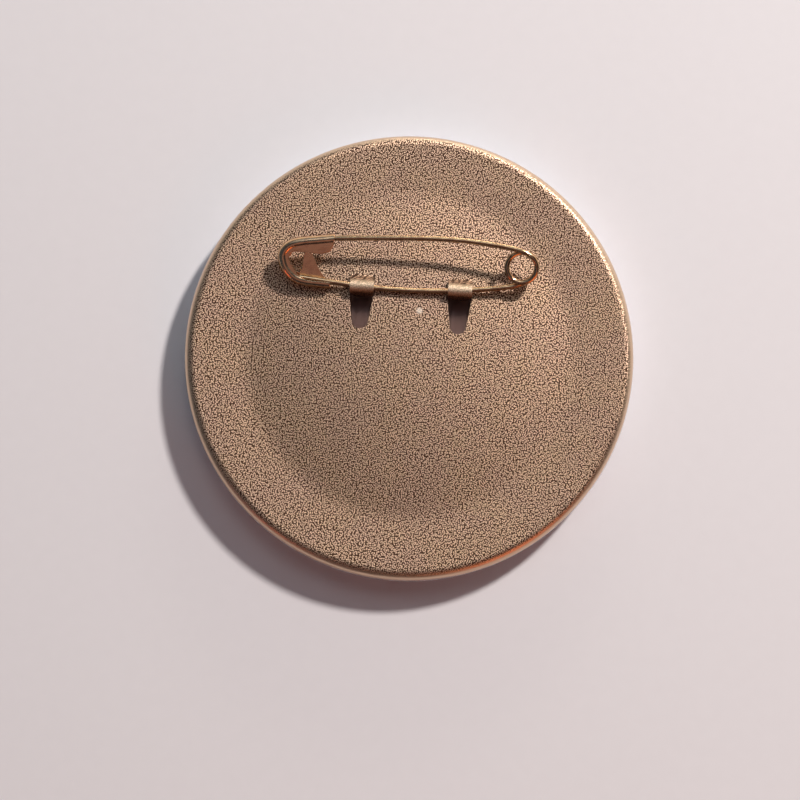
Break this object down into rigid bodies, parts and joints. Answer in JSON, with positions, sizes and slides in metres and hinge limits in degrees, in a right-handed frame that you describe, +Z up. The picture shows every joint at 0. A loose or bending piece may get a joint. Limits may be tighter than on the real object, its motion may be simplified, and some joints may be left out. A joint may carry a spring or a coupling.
{
  "type": "button badge",
  "caption": "Round button badge with a domed film-covered face, a pressed steel back and a safety pin held under two lanced tongues.",
  "frame": {"origin": "on the badge's axis, at the lowest point of the printed face that it lies on", "axes": "+Z up through the back plate, +X along the line through the two tongues, +Y towards the free arm of the pin"},
  "size_m": [0.058, 0.058, 0.0093],
  "materials": {
    "tinplate": "bright tinplate",
    "printed_paper": "printed paper",
    "clear_film": "glossy clear polyester film",
    "back_plate": "sparkling rose-bronze lacquer",
    "pin_wire": "polished brass plate",
    "guard_cap": "polished brass plate"
  },
  "bodies": {
    "badge": {"front_shell": "tinplate", "artwork_disc": "printed_paper", "clear_film": "clear_film", "back_plate": "back_plate"},
    "pin": {"fixed_leg": "pin_wire", "guard_cap": "guard_cap"},
    "arm": {"point_arm": "pin_wire"}
  },
  "joints": [
    {"name": "pin_swing", "type": "hinge", "parent": "badge", "child": "pin", "pos_m": [-0.0003, 0.00842, 0.00625], "axis": [0.9998, 0.0192, 0], "range_deg": [-22, 155]},
    {"name": "arm_press", "type": "hinge", "parent": "pin", "child": "arm", "pos_m": [0.01367, 0.0119, 0.00729], "axis": [0.0059, -0.309, 0.9511], "range_deg": [0, 8], "stiffness_Nm_per_rad": 0.0006, "springref_deg": -20.05}
  ]
}
